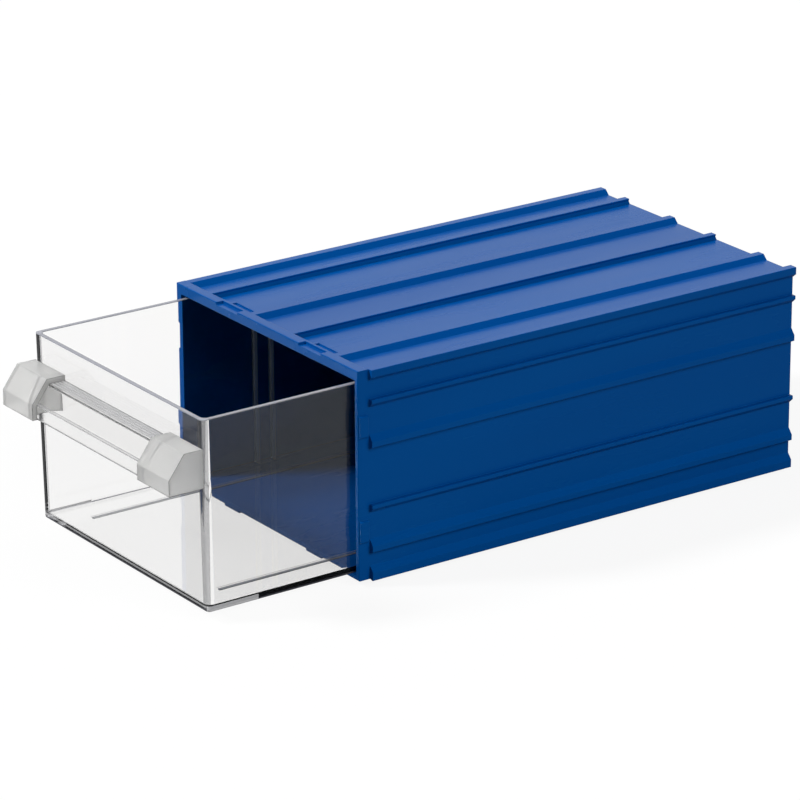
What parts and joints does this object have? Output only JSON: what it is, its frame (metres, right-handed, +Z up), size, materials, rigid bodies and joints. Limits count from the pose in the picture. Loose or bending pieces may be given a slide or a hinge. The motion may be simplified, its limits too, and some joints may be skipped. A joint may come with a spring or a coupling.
{
  "type": "stackable drawer box",
  "caption": "Stackable drawer box: a ribbed blue cabinet with interlocking rails on its roof, side and base, and a clear sliding drawer with a frosted finger handle.",
  "frame": {"origin": "middle of the cabinet's footprint, on the plane of the base rails' faces", "axes": "+Z up, +Y from the drawer's front to the cabinet's back, +X to the right seen from the front"},
  "size_m": [0.1524, 0.348, 0.1041],
  "materials": {
    "cabinet_blue": "opaque blue moulded plastic with a fine grain and a soft gloss",
    "drawer_clear": "clear moulded polystyrene, polished",
    "handle_clear": "clear moulded polystyrene, polished, with grip ribs",
    "handle_frosted": "clear plastic with a frosted, etched surface"
  },
  "bodies": {
    "cabinet": {"cabinet_shell": "cabinet_blue"},
    "drawer": {"drawer_tray": "drawer_clear", "handle_bar": "handle_clear", "handle_end_left": "handle_frosted", "handle_end_right": "handle_frosted"}
  },
  "joints": [
    {"name": "drawer_slide", "type": "slide", "parent": "cabinet", "child": "drawer", "axis": [0, -1, 0], "range_m": [-0.0805, 0.11]}
  ]
}
